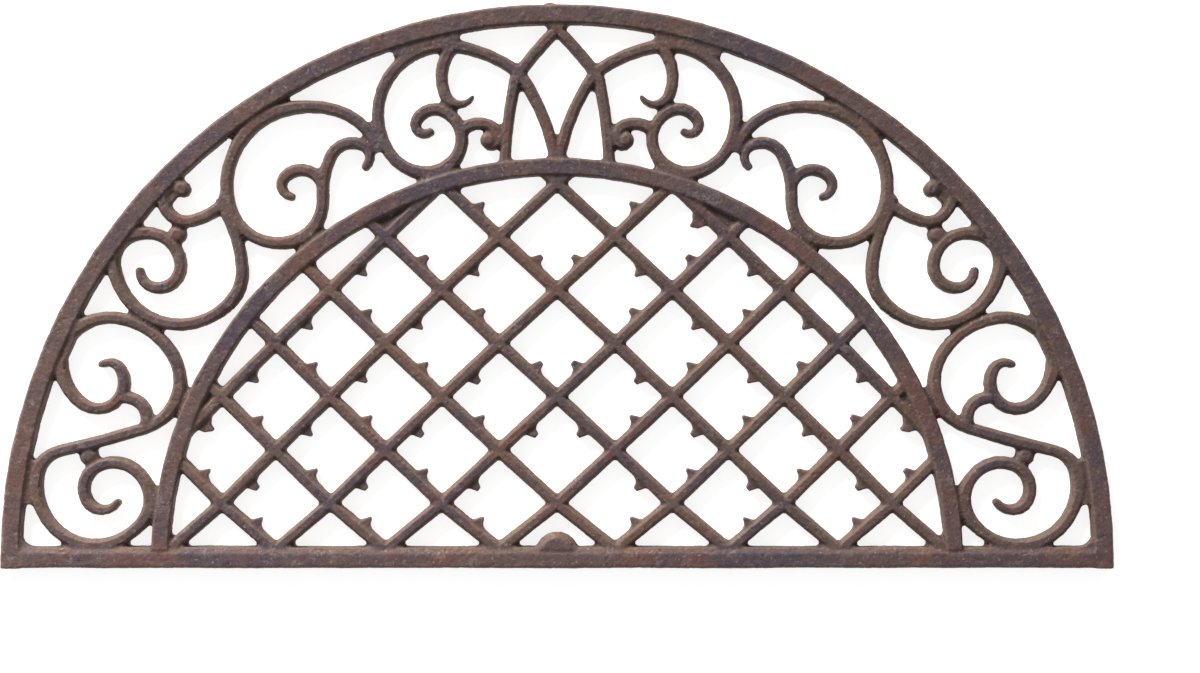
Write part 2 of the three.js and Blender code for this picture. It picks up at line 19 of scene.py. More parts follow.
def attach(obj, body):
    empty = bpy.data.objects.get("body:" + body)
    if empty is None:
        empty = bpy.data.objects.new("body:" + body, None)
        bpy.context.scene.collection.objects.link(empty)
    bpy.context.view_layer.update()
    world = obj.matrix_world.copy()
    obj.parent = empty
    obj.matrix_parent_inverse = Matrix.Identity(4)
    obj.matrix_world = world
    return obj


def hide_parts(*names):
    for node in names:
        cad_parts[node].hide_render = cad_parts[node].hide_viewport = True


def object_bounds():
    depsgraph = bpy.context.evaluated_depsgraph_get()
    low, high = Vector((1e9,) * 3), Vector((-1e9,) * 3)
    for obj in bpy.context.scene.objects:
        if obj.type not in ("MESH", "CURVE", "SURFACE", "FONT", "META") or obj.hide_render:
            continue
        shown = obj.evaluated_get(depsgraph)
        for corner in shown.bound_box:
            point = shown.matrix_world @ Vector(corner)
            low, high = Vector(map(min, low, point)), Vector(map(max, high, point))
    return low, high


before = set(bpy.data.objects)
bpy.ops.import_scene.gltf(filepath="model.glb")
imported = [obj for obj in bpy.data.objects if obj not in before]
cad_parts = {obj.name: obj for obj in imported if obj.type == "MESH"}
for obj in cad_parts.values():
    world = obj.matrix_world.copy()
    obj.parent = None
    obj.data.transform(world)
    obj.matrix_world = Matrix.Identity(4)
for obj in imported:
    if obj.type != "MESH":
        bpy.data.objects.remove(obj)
CAD_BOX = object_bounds()

LOG = logging.getLogger("door_mat")
MM = 0.001
BODY = "root"
EDGE_MASK = "edge"
SLOPE_MASK = "slope"
NO_LENGTH = 1e-12

Socket = bpy.types.NodeSocket
Sockets = bpy.types.NodeOutputs
Tree = bpy.types.ShaderNodeTree
Colour = tuple[float, float, float]
Patterns = dict[str, bmesh.types.BMesh]

# Sockets of a Mix node for colours, by number because several share a name

MIX_SHARE = 0
MIX_FIRST = 6
MIX_SECOND = 7
MIX_RESULT = 2


class Side(Enum):
    """Which half of the mat a scroll lies in."""

    RIGHT = "right"
    LEFT = "left"


class Slant(Enum):
    """Which way a lattice bar runs from the base bar."""

    RISING = "rising"
    FALLING = "falling"


# Relief of the casting


@dataclass(frozen=True)
class ReliefLayer:
    """One layer of bumps in the casting's skin.

    Args:
        size: length of one bump.
        height: how far a bump stands out or a dent goes in.
        seed: offset that keeps the layers apart.
        floor: noise value under which the layer is level, for scattered pits.
    """

    size: float
    height: float
    seed: float
    floor: float | None = None

    def sample(self, points: np.ndarray) -> np.ndarray:
        """Height of the layer at each point.

        Args:
            points: one row per point.

        Returns:
            One height per point, in metres.
        """
        rows = (points / self.size + self.seed).tolist()
        values = np.asarray([noise.noise(Vector(row)) for row in rows])
        if self.floor is not None:
            values = np.maximum(values - self.floor, 0)
        return values * self.height


# Skin of the casting


@dataclass
class Skin:
    """The skin of the whole casting as plain arrays.

    Args:
        points: place of each point.
        normals: normal of each point.
        quads: the four points of each face.
        owners: index of the member that owns each face.
        edge: how convex the skin is at each point, below 0 in a hollow.
        slope: sine of the skin's slope at each point, 0 on level skin and 1 on a wall.
    """

    points: np.ndarray
    normals: np.ndarray
    quads: np.ndarray
    owners: np.ndarray
    edge: np.ndarray
    slope: np.ndarray


def mesh_points(mesh: bpy.types.Mesh) -> np.ndarray:
    """Reads the places of a mesh's points.

    Args:
        mesh: the mesh.

    Returns:
        One row per point.
    """
    flat = np.zeros(len(mesh.vertices) * 3)
    mesh.vertices.foreach_get("co", flat)
    return flat.reshape(-1, 3)


def mesh_normals(mesh: bpy.types.Mesh) -> np.ndarray:
    """Reads the normals of a mesh's points.

    Args:
        mesh: the mesh.

    Returns:
        One row per point.
    """
    flat = np.zeros(len(mesh.vertices) * 3)
    mesh.vertex_normals.foreach_get("vector", flat)
    return flat.reshape(-1, 3)


def move_points(mesh: bpy.types.Mesh, points: np.ndarray) -> None:
    """Gives a mesh's points new places."""
    mesh.vertices.foreach_set("co", points.ravel())
    mesh.update()


@dataclass
class Foundry:
    """Casts the CAD members into one skin.

    Args:
        cell: edge of the skin's faces.
        seam: growth of each member that closes the split lines.
        corner_stretch: the most that this growth is multiplied by at a sharp corner.
        fillet: how far the skin is pushed out and back, which fills the joints.
        smoothing: rounds that round off the edges.
        growth: how far the skin then stands out from the members, which makes up for the rounding.
        room: depth kept free for the relief inside the CAD box.
        relief: layers of sand-cast relief.
        edge_reach: rounds of smoothing whose effect tells an edge from a hollow.
        edge_height: depth of that effect at a full edge.
    """

    cell: float = 0.7 * MM
    seam: float = 0.25 * MM
    corner_stretch: float = 2.0
    fillet: float = 1.1 * MM
    smoothing: int = 1
    growth: float = 0.2 * MM
    room: float = 0.15 * MM
    relief: tuple[ReliefLayer, ...] = (
        ReliefLayer(1.9 * MM, 0.14 * MM, 11.3),
        ReliefLayer(5.5 * MM, 0.14 * MM, 5.7),
        ReliefLayer(30 * MM, 0.4 * MM, 2.1),
        ReliefLayer(3.1 * MM, -0.9 * MM, 8.4, floor=0.3),
    )
    edge_reach: int = 6
    edge_height: float = 0.25 * MM

    def cast(self, patterns: Patterns) -> Skin:
        """Makes the skin of the whole mat.

        Args:
            patterns: pattern of each member, which is used up.

        Returns:
            The skin, with the member that owns each face.
        """
        casting = bpy.data.objects.new("casting", self._grown(patterns))
        bpy.context.scene.collection.objects.link(casting)
        self._wrap(casting)
        self._push(casting.data, self.fillet)
        self._wrap(casting)
        self._push(casting.data, self.growth - self.fillet - self.seam)
        mesh = casting.data
        links = self._links(mesh)
        points = self._fit(self._even(mesh_points(mesh), links, self.smoothing))
        move_points(mesh, points)
        edge = self._edge(points, mesh_normals(mesh), links)
        owners = self._owners(mesh, list(patterns))
        relief = sum(layer.sample(points) for layer in self.relief)
        points = points + relief[:, None] * mesh_normals(mesh)
        move_points(mesh, np.clip(points, *CAD_BOX))
        quads = np.zeros(len(mesh.loops), np.int64)
        mesh.loops.foreach_get("vertex_index", quads)
        normals = mesh_normals(mesh)
        slope = np.hypot(normals[:, 0], normals[:, 1])
        skin = Skin(mesh_points(mesh), normals, quads.reshape(-1, 4), owners, edge, slope)
        bpy.data.objects.remove(casting)
        bpy.data.meshes.remove(mesh)
        LOG.info("skin: %d faces", len(skin.quads))
        return skin

    def _grown(self, patterns: Patterns) -> bpy.types.Mesh:
        """Joins the patterns, each grown by the seam.

        Args:
            patterns: pattern of each member.

        Returns:
            One mesh with every grown member.
        """
        joined = bmesh.new()
        for solid in patterns.values():
            solid.normal_update()
            stretches = [min(vert.calc_shell_factor(), self.corner_stretch) for vert in solid.verts]
            for vert, stretch in zip(solid.verts, stretches):
                vert.co += vert.normal * stretch * self.seam
            copy = bpy.data.meshes.new("grown")
            solid.to_mesh(copy)
            solid.free()
            joined.from_mesh(copy)
            bpy.data.meshes.remove(copy)
        mesh = bpy.data.meshes.new("casting")
        joined.to_mesh(mesh)
        joined.free()
        return mesh

    def _wrap(self, casting: bpy.types.Object) -> None:
        """Replaces an object's mesh by one even skin round all its solids.

        Args:
            casting: the object.
        """
        modifier = casting.modifiers.new("skin", "REMESH")
        modifier.mode = "VOXEL"
        modifier.voxel_size = self.cell
        graph = bpy.context.evaluated_depsgraph_get()
        fresh = bpy.data.meshes.new_from_object(casting.evaluated_get(graph))
        casting.modifiers.clear()
        worn_out = casting.data
        casting.data = fresh
        bpy.data.meshes.remove(worn_out)

    @staticmethod
    def _push(mesh: bpy.types.Mesh, distance: float) -> None:
        """Moves each point of a mesh along its normal."""
        move_points(mesh, mesh_points(mesh) + distance * mesh_normals(mesh))

    @staticmethod
    def _links(mesh: bpy.types.Mesh) -> np.ndarray:
        """Reads the edges of a mesh.

        Args:
            mesh: the mesh.

        Returns:
            The two points of each edge, one row each.
        """
        flat = np.zeros(len(mesh.edges) * 2, np.int64)
        mesh.edges.foreach_get("vertices", flat)
        return flat.reshape(-1, 2)

    @staticmethod
    def _even(points: np.ndarray, links: np.ndarray, rounds: int) -> np.ndarray:
        """Moves points halfway towards the middle of their neighbours.

        Args:
            points: place of each point.
            links: the two points of each edge.
            rounds: number of passes.

        Returns:
            The new places.
        """
        count = len(points)
        first, second = links.T
        degree = np.bincount(links.ravel(), minlength=count)[:, None]
        for _ in range(rounds):
            total = np.stack(
                [
                    np.bincount(first, points[second, axis], count)
                    + np.bincount(second, points[first, axis], count)
                    for axis in range(3)
                ],
                axis=1,
            )
            points = 0.5 * (points + total / degree)
        return points

    def _fit(self, points: np.ndarray) -> np.ndarray:
        """Fits points to the CAD box, less the room for the relief.

        Args:
            points: place of each point.

        Returns:
            The new places.
        """
        low, high = np.asarray(CAD_BOX[0]) + self.room, np.asarray(CAD_BOX[1]) - self.room
        first, last = points.min(axis=0), points.max(axis=0)
        return low + (points - first) * (high - low) / (last - first)

    def _edge(self, points: np.ndarray, normals: np.ndarray, links: np.ndarray) -> np.ndarray:
        """How convex the skin is at each point.

        Args:
            points: place of each point.
            normals: normal of each point.
            links: the two points of each edge.

        Returns:
            From -1 in a hollow to 1 on an edge.
        """
        evened = self._even(points, links, self.edge_reach)
        depth = np.einsum("ij,ij->i", points - evened, normals)
        return np.clip(depth / self.edge_height, -1, 1)

    @staticmethod
    def _owners(mesh: bpy.types.Mesh, names: list[str]) -> np.ndarray:
        """The member that lies nearest to each face.

        Args:
            mesh: the skin.
            names: the members' names.

        Returns:
            One index into the names for each face.
        """
        points: list[Vector] = []
        faces: list[list[int]] = []
        owner_of: list[int] = []
        for index, name in enumerate(names):
            first = len(points)
            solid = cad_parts[name].data
            points.extend(vert.co.copy() for vert in solid.vertices)
            for polygon in solid.polygons:
                faces.append([first + corner for corner in polygon.vertices])
                owner_of.append(index)
        tree = BVHTree.FromPolygons(points, faces)
        return np.asarray([owner_of[tree.find_nearest(face.center)[2]] for face in mesh.polygons])


# Parting of the skin


@dataclass
class Parting:
    """Parts the skin along its members and closes each part where it was cut.

    Args:
        skin: the skin of the whole casting.
        names: the members' names, in the order of the owners.
        rounds: rounds in which a face takes the owner of most of its neighbours.
        majority: how many of a face's four neighbours have to agree.
    """

    skin: Skin
    names: list[str]
    rounds: int = 4
    majority: int = 3
    _pairs: np.ndarray = field(init=False)

    def __post_init__(self) -> None:
        """Finds which faces touch and tidies the owners."""
        self._pairs = self._touching()
        for _ in range(self.rounds):
            self._settle()
        self._drop_islands()

    def _touching(self) -> np.ndarray:
        """Finds which faces touch.

        Returns:
            The two faces that share each edge, one row each.
        """
        quads = self.skin.quads
        ends = np.stack([quads, np.roll(quads, -1, axis=1)], axis=2).reshape(-1, 2)
        ends.sort(axis=1)
        keys = ends[:, 0] * len(self.skin.points) + ends[:, 1]
        order = np.argsort(keys, kind="stable")
        ranked = keys[order]
        same = np.flatnonzero(ranked[1:] == ranked[:-1])
        return np.stack([order[same] // 4, order[same + 1] // 4], axis=1)

    def _settle(self) -> None:
        """Gives a face the owner on which the majority of its neighbours agree."""
        owners = self.skin.owners
        count = len(self.names)
        votes = np.zeros((len(owners), count), np.int8)
        for here, there in (self._pairs.T, self._pairs.T[::-1]):
            np.add.at(votes, (here, owners[there]), 1)
        winner = votes.argmax(axis=1)
        strong = votes[np.arange(len(owners)), winner] >= self.majority
        self.skin.owners = np.where(strong, winner, owners)

    def _drop_islands(self) -> None:
        """Leaves each member its largest patch, and gives the others to what lies round them."""
        owners = self.skin.owners.tolist()
        near: list[list[int]] = [[] for _ in owners]
        for here, there in self._pairs.tolist():
            near[here].append(there)
            near[there].append(here)
        patch_of = [-1] * len(owners)
        patches: list[list[int]] = []
        for start, owner in enumerate(owners):
            if patch_of[start] >= 0:
                continue
            patch_of[start] = len(patches)
            patch = [start]
            for face in patch:
                for other in near[face]:
                    if patch_of[other] < 0 and owners[other] == owner:
                        patch_of[other] = len(patches)
                        patch.append(other)
            patches.append(patch)
        largest: dict[int, int] = {}
        for index, patch in enumerate(patches):
            owner = owners[patch[0]]
            if owner not in largest or len(patch) > len(patches[largest[owner]]):
                largest[owner] = index
        for index, patch in enumerate(patches):
            if index == largest[owners[patch[0]]]:
                continue
            around = [owners[o] for f in patch for o in near[f] if patch_of[o] != index]
            heir = max(set(around), key=around.count) if around else owners[patch[0]]
            for face in patch:
                owners[face] = heir
        self.skin.owners = np.asarray(owners)

    def part(self, name: str) -> bpy.types.Object:
        """Makes the piece of one member.

        Args:
            name: the member's name.

        Returns:
            The closed piece, which shades as if the skin were whole.
        """
        skin = self.skin
        quads = skin.quads[skin.owners == self.names.index(name)]
        used, local = np.unique(quads, return_inverse=True)
        quads = local.reshape(-1, 4)
        points = skin.points[used].tolist()
        faces = quads.tolist()
        normals = skin.normals[used][quads.ravel()].tolist()
        masks = {EDGE_MASK: skin.edge[used].tolist(), SLOPE_MASK: skin.slope[used].tolist()}
        for loop in self._open_loops(quads):
            middle = np.mean([points[k] for k in loop], axis=0)
            hub = len(points)
            points.append(middle.tolist())
            for values in masks.values():
                values.append(0.0)
            for here, there in zip(loop, loop[1:] + loop[:1]):
                faces.append([there, here, hub])
                a, b = (np.asarray(points[k]) - middle for k in (there, here))
                across = np.cross(a, b)
                across = across / max(np.linalg.norm(across), NO_LENGTH)
                normals.extend([across.tolist()] * 3)
        mesh = bpy.data.meshes.new(name)
        mesh.from_pydata(points, [], faces)
        mesh.polygons.foreach_set("use_smooth", [True] * len(faces))
        for mask, values in masks.items():
            mesh.attributes.new(mask, "FLOAT", "POINT").data.foreach_set("value", values)
        mesh.normals_split_custom_set(normals)
        mesh.update()
        piece = bpy.data.objects.new(f"{name}_casting", mesh)
        bpy.context.scene.collection.objects.link(piece)
        return piece

    @staticmethod
    def _open_loops(quads: np.ndarray) -> list[list[int]]:
        """Closed walks round the openings of a part.

        Args:
            quads: the four points of each face.

        Returns:
            The points of each walk, in the order of the faces that they bound.
        """
        starts, ends = quads.ravel(), np.roll(quads, -1, axis=1).ravel()
        size = int(quads.max()) + 1
        keys, back = starts * size + ends, ends * size + starts
        rim = ~np.isin(keys, back)
        onward: dict[int, list[int]] = {}
        for start, end in zip(starts[rim].tolist(), ends[rim].tolist()):
            onward.setdefault(start, []).append(end)
        loops = []
        while onward:
            first = next(iter(onward))
            walk = [first]
            at = first
            while True:
                following = onward[at].pop()
                if not onward[at]:
                    del onward[at]
                if following == first:
                    break
                walk.append(following)
                at = following
            loops.append(walk)
        return loops


# Finish


@dataclass(frozen=True)
class NoiseLayer:
    """One noise mask of the rust.

    Args:
        scale: bumps per metre.
        detail: octaves.
        low: noise value that becomes 0.
        high: noise value that becomes 1.
    """

    scale: float
    detail: float
    low: float
    high: float

    def mask(self, tree: Tree, place: Socket) -> Socket:
        """Adds the mask to a tree.

        Args:
            tree: the tree that gets the nodes.
            place: socket with the coordinates.

        Returns:
            The socket with the mask.
        """
        texture = tree.nodes.new("ShaderNodeTexNoise")
        texture.inputs["Scale"].default_value = self.scale
        texture.inputs["Detail"].default_value = self.detail
        tree.links.new(place, texture.inputs["Vector"])
        return spread(tree, texture.outputs["Fac"], self.low, self.high)


def spread(tree: Tree, value: Socket, low: float, high: float) -> Socket:
    """Spreads a value between two thresholds.

    Args:
        tree: the tree that gets the node.
        value: socket with the value.
        low: value that becomes 0.
        high: value that becomes 1.

    Returns:
        The socket with the result, from 0 to 1.
    """
    node = tree.nodes.new("ShaderNodeMapRange")
    node.inputs["From Min"].default_value = low
    node.inputs["From Max"].default_value = high
    tree.links.new(value, node.inputs["Value"])
    return node.outputs["Result"]


def mix_colours(tree: Tree, mask: Socket, first: Socket, second: Socket) -> Socket:
    """Mixes two colours.

    Args:
        tree: the tree that gets the node.
        mask: socket with the share of the second colour.
        first: socket with the first colour.
        second: socket with the second colour.

    Returns:
        The socket with the mixed colour.
    """
    mix = tree.nodes.new("ShaderNodeMix")
    mix.data_type = "RGBA"
    tree.links.new(mask, mix.inputs[MIX_SHARE])
    tree.links.new(first, mix.inputs[MIX_FIRST])
    tree.links.new(second, mix.inputs[MIX_SECOND])
    return mix.outputs[MIX_RESULT]


def combine(tree: Tree, operation: str, first: Socket, second: Socket | float) -> Socket:
    """Arithmetic on two values.

    Args:
        tree: the tree that gets the node.
        operation: name of the operation.
        first: socket with the first value.
        second: socket with the second value, or the value.

    Returns:
        The socket with the result.
    """
    node = tree.nodes.new("ShaderNodeMath")
    node.operation = operation
    tree.links.new(first, node.inputs[0])
    if isinstance(second, (int, float)):
        node.inputs[1].default_value = second
    else:
        tree.links.new(second, node.inputs[1])
    return node.outputs[0]


@dataclass(frozen=True)
class RustGroup:
    """Shader group with the colour, roughness and fine relief of rusted iron, with painted shade in
    the hollows and a painted falloff of light.

    Args:
        name: name of the node group.
        patches: where the cooler colour lies.
        blooms: where fresh rust lies.
        mottle: where the rust is dusty.
        grit: the finest grain.
        specks: bright specks.
        scuffs: rubbed places.
        bloom_share: strength of the fresh rust.
        dust_share: strength of the dust on level skin.
        steep: slopes at which the dust begins and is full.
        upright: slopes at which it begins to fall off again, and of a wall.
        wall_share: how much less dust lies on a wall.
        painted_shade_share: strength of the painted shade in the hollows.
        speck_share: strength of the specks.
        scuff_share: strength of the rubbed places.
        shade: lightness in the grain's dents, and what its crests add.
        painted_light_level: painted lightness at the middle of the base bar.
        painted_falloff: painted falloff of light, the change of the lightness for each metre along
            X, Y and Z.
        roughness: roughness of skin without dust, and what dust adds.
    """

    name: str = "rust_and_painted_shade"
    patches: NoiseLayer = NoiseLayer(11, 5, 0.42, 0.6)
    blooms: NoiseLayer = NoiseLayer(34, 5, 0.5, 0.7)
    mottle: NoiseLayer = NoiseLayer(160, 5, 0.46, 0.72)
    grit: NoiseLayer = NoiseLayer(700, 3, 0.34, 0.66)
    specks: NoiseLayer = NoiseLayer(420, 2, 0.64, 0.73)
    scuffs: NoiseLayer = NoiseLayer(95, 4, 0.58, 0.7)
    bloom_share: float = 0.75
    dust_share: float = 0.3
    steep: tuple[float, float] = (0.2, 0.85)
    upright: tuple[float, float] = (0.9, 1.0)
    wall_share: float = 0.4
    painted_shade_share: float = 0.72
    speck_share: float = 0.5
    scuff_share: float = 0.45
    shade: tuple[float, float] = (0.82, 0.3)
    # Painted falloff of light, which runs out from the middle of the base bar
    painted_light_level: float = 1.02
    painted_falloff: tuple[float, float, float] = (-0.32, -0.58, 0)
    roughness: tuple[float, float] = (0.62, 0.2)

    def tree(self) -> Tree:
        """The node group, which is made the first time.

        Returns:
            The group, whose outputs are a colour, a roughness and a height.
        """
        return bpy.data.node_groups.get(self.name) or self._build()

    def _build(self) -> Tree:
        """Makes the node group.

        Returns:
            The new group.
        """
        tree = bpy.data.node_groups.new(self.name, "ShaderNodeTree")
        for socket in ("Brown", "Plum", "Red", "Tan", "Dark", "Pale"):
            tree.interface.new_socket(socket, in_out="INPUT", socket_type="NodeSocketColor")
        for socket in ("Edge", "Slope", "Wear", "Rust"):
            tree.interface.new_socket(socket, in_out="INPUT", socket_type="NodeSocketFloat")
        tree.interface.new_socket("Colour", in_out="OUTPUT", socket_type="NodeSocketColor")
        for socket in ("Roughness", "Height"):
            tree.interface.new_socket(socket, in_out="OUTPUT", socket_type="NodeSocketFloat")
        given = tree.nodes.new("NodeGroupInput").outputs
        wanted = tree.nodes.new("NodeGroupOutput").inputs
        place = tree.nodes.new("ShaderNodeTexCoord").outputs["Object"]
        mottle = self.mottle.mask(tree, place)
        grit = self.grit.mask(tree, place)
        colour = self._rusted(tree, given, place, mottle)
        colour = self._worn(tree, given, place, colour, mottle, grit)
        # Painted falloff of light: the colour is darker towards the right and the crown, and lighter
        # towards the left and the base bar
        painted_falloff_node = tree.nodes.new("ShaderNodeVectorMath")
        painted_falloff_node.operation = "DOT_PRODUCT"
        painted_falloff_node.inputs[1].default_value = self.painted_falloff
        tree.links.new(place, painted_falloff_node.inputs[0])
        painted_light = combine(tree, "ADD", painted_falloff_node.outputs["Value"], self.painted_light_level)
        tint = tree.nodes.new("ShaderNodeVectorMath")
        tint.operation = "SCALE"
        tree.links.new(colour, tint.inputs[0])
        shade = combine(tree, "MULTIPLY", self._span(tree, grit, self.shade), painted_light)
        tree.links.new(shade, tint.inputs["Scale"])
        tree.links.new(tint.outputs["Vector"], wanted["Colour"])
        tree.links.new(self._span(tree, mottle, self.roughness), wanted["Roughness"])
        tree.links.new(grit, wanted["Height"])
        return tree

    def _rusted(self, tree: Tree, given: Sockets, place: Socket, mottle: Socket) -> Socket:
        """Lays patches, fresh rust, dust and painted shade in the hollows over each other.

        Args:
            tree: the tree that gets the nodes.
            given: the group's inputs.
            place: socket with the coordinates.
            mottle: socket with the dust's mask.

        Returns:
            The socket with the colour.
        """
        patches = self.patches.mask(tree, place)
        blooms = combine(tree, "MULTIPLY", self.blooms.mask(tree, place), self.bloom_share)
        colour = mix_colours(tree, patches, given["Brown"], given["Plum"])
        colour = mix_colours(tree, blooms, colour, given["Red"])
        walls = spread(tree, given["Slope"], *self.upright)
        kept = self._span(tree, walls, (1.0, -self.wall_share))
        dusty = combine(tree, "MULTIPLY", spread(tree, given["Slope"], *self.steep), kept)
        dusty = combine(tree, "MULTIPLY", dusty, given["Rust"])
        dusty = combine(tree, "ADD", combine(tree, "MULTIPLY", mottle, self.dust_share), dusty)
        dusty.node.use_clamp = True
        colour = mix_colours(tree, dusty, colour, given["Tan"])
        # Painted shade: the dark colour is laid into the hollows, by how concave the skin is
        hollow = combine(tree, "MULTIPLY", given["Edge"], -self.painted_shade_share)
        hollow.node.use_clamp = True
        return mix_colours(tree, hollow, colour, given["Dark"])

    def _worn(
        self, tree: Tree, given: Sockets, place: Socket, colour: Socket, mottle: Socket, grit: Socket
    ) -> Socket:
        """Rubs the crests pale, and adds specks and scuffs.

        Args:
            tree: the tree that gets the nodes.
            given: the group's inputs.
            place: socket with the coordinates.
            colour: socket with the colour so far.
            mottle: socket with the dust's mask.
            grit: socket with the grain's mask.

        Returns:
            The socket with the colour.
        """
        crest = combine(tree, "MULTIPLY", given["Edge"], given["Wear"])
        worn = combine(tree, "MULTIPLY", combine(tree, "MAXIMUM", crest, 0.0), mottle)
        specks = combine(tree, "MULTIPLY", self.specks.mask(tree, place), self.speck_share)
        worn = combine(tree, "MAXIMUM", worn, specks)
        scuffs = combine(tree, "MULTIPLY", self.scuffs.mask(tree, place), self.scuff_share)
        scuffs = combine(tree, "MULTIPLY", combine(tree, "MULTIPLY", scuffs, grit), given["Wear"])
        worn = combine(tree, "MAXIMUM", worn, scuffs)
        return mix_colours(tree, worn, colour, given["Pale"])

    @staticmethod
    def _span(tree: Tree, mask: Socket, span: tuple[float, float]) -> Socket:
        """Turns a mask into a value.

        Args:
            tree: the tree that gets the node.
            mask: socket with the mask.
            span: the value where the mask is 0, and what a mask of 1 adds.

        Returns:
            The socket with the value.
        """
        return combine(tree, "ADD", combine(tree, "MULTIPLY", mask, span[1]), span[0])


@dataclass(frozen=True)
class CastIronFinish:
    """Rusty brown iron, tan on the slopes, with painted shade in the hollows.

    Args:
        name: name of the material.
        wear: how pale the crests are rubbed.
        rust: how tan the slopes are.
        brown: the iron's own brown.
        plum: the cooler patches.
        red: blooms of fresh rust.
        tan: dusty rust on the slopes.
        dark: painted shade in the hollows.
        pale: rubbed crests and specks.
        metallic: share of bare metal in the gloss.
        specular: strength of the gloss.
        grit: depth of the finest grain.
        grit_share: strength of that grain.
    """

    name: str
    wear: float
    rust: float
    brown: Colour = (0.142, 0.093, 0.08)
    plum: Colour = (0.086, 0.064, 0.086)
    red: Colour = (0.175, 0.08, 0.066)
    tan: Colour = (0.235, 0.154, 0.113)
    # Colour of the painted shade in the hollows
    dark: Colour = (0.05, 0.032, 0.034)
    pale: Colour = (0.38, 0.32, 0.3)
    metallic: float = 0.1
    specular: float = 0.35
    grit: float = 0.12 * MM
    grit_share: float = 0.6

    def material(self) -> bpy.types.Material:
        """The material, which is made the first time."""
        return bpy.data.materials.get(self.name) or self._build()

    def _build(self) -> bpy.types.Material:
        """Makes the material.

        Returns:
            The new material.
        """
        material = bpy.data.materials.new(self.name)
        material.use_nodes = True
        tree = material.node_tree
        shader = tree.nodes["Principled BSDF"]
        rust = tree.nodes.new("ShaderNodeGroup")
        rust.node_tree = RustGroup().tree()
        for socket, colour in {
            "Brown": self.brown,
            "Plum": self.plum,
            "Red": self.red,
            "Tan": self.tan,
            "Dark": self.dark,
            "Pale": self.pale,
        }.items():
            rust.inputs[socket].default_value = (*colour, 1)
        rust.inputs["Wear"].default_value = self.wear
        rust.inputs["Rust"].default_value = self.rust
        for socket, mask in {"Edge": EDGE_MASK, "Slope": SLOPE_MASK}.items():
            attribute = tree.nodes.new("ShaderNodeAttribute")
            attribute.attribute_name = mask
            tree.links.new(attribute.outputs["Fac"], rust.inputs[socket])
        bump = tree.nodes.new("ShaderNodeBump")
        bump.inputs["Strength"].default_value = self.grit_share
        bump.inputs["Distance"].default_value = self.grit
        tree.links.new(rust.outputs["Height"], bump.inputs["Height"])
        tree.links.new(rust.outputs["Colour"], shader.inputs["Base Color"])
        tree.links.new(rust.outputs["Roughness"], shader.inputs["Roughness"])
        tree.links.new(bump.outputs["Normal"], shader.inputs["Normal"])
        shader.inputs["Metallic"].default_value = self.metallic
        shader.inputs["Specular IOR Level"].default_value = self.specular
        return material


# Sub-assemblies


@dataclass
class CastMembers:
    """A group of members of the casting.

    Args:
        finish: look of the group's pieces.
        weld: points of a member nearer than this are one point.
    """

    finish: CastIronFinish
    weld: float = 0.005 * MM

    def members(self) -> list[str]:
        """Names of the group's members."""
        return []

    def patterns(self) -> Patterns:
        """Makes the pattern of each member.

        Returns:
            A copy of each member's CAD solid, shaped further for the casting.
        """
        made = {}
        for name in self.members():
            solid = bmesh.new()
            solid.from_mesh(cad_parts[name].data)
            bmesh.ops.remove_doubles(solid, verts=solid.verts, dist=self.weld)
            self.shape(name, solid)
            made[name] = solid
        return made

    def shape(self, name: str, pattern: bmesh.types.BMesh) -> None:
        """Shapes a pattern further; most keep the CAD shape."""

    def build(self, parting: Parting) -> None:
        """Makes, dresses and reports each piece of the group.

        Args:
            parting: where the pieces come from.
        """
        material = self.finish.material()
        for name in self.members():
            piece = parting.part(name)
            piece.data.materials.append(material)
            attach(piece, BODY)
            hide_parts(name)
            LOG.info("%s: %d faces", piece.name, len(piece.data.polygons))


@dataclass
class RimFrame(CastMembers):
    """The bow, the base bar with its boss, and the inner arch.

    Args:
        crown_edge: the base bar's inner crown edge lies beyond this Y in the CAD.
        crown_level: and above this height.
        bevel_run: how far that edge is drawn back, for the bar's broad sloping side.
        corner: the corner of the bow and the base bar, inside.
        corner_reach: the CAD fillets lie within this distance of the corners.
        corner_share: size of the cast fillets over the CAD fillets.
        pocket_level: the arch's pocket floors lie at this height in the CAD.
        pocket_rise: how much higher they are cast.
    """

    finish: CastIronFinish = CastIronFinish("rusted_rim", 0.9, 0.65, brown=(0.13, 0.085, 0.084))
    crown_edge: float = 7 * MM
    crown_level: float = 13.5 * MM
    bevel_run: float = 2.9 * MM
    corner: tuple[float, float] = (366.2 * MM, 9 * MM)
    corner_reach: float = 6 * MM
    corner_share: float = 1.55
    pocket_level: float = 4.5 * MM
    pocket_rise: float = 5 * MM

    def members(self) -> list[str]:
        """Names of the rims and the boss."""
        return ["outer_bow", "base_bar", "inner_arch", "base_boss"]

    def shape(self, name: str, pattern: bmesh.types.BMesh) -> None:
        """Raises the arch's pocket floors, and shapes the base bar further.

        Args:
            name: the member.
            pattern: its pattern.
        """
        if name == "inner_arch":
            for vert in pattern.verts:
                if abs(vert.co.z - self.pocket_level) < self.weld:
                    vert.co.z += self.pocket_rise
        if name == "base_bar":
            for vert in pattern.verts:
                self._broaden(vert)

    def _broaden(self, vert: bmesh.types.BMVert) -> None:
        """Broadens the base bar's inner bevel and the fillets in its corners.

        Args:
            vert: a point of the base bar.
        """
        if vert.co.z > self.crown_level and vert.co.y > self.crown_edge:
            vert.co.y -= self.bevel_run
        inward = self.corner[0] - abs(vert.co.x)
        upward = vert.co.y - self.corner[1]
        if inward < self.corner_reach and upward > -self.weld:
            vert.co.x = (self.corner[0] - inward * self.corner_share) * (1 if vert.co.x > 0 else -1)
            vert.co.y = self.corner[1] + upward * self.corner_share


@dataclass
class CrownRibs(CastMembers):
    """The pointed ribs under the bow's crown."""

    finish: CastIronFinish = CastIronFinish("rusted_ribs", 0.5, 0.7)

    def members(self) -> list[str]:
        """Names of the pairs of ribs."""
        return ["crown_lancets", "crown_vee"]


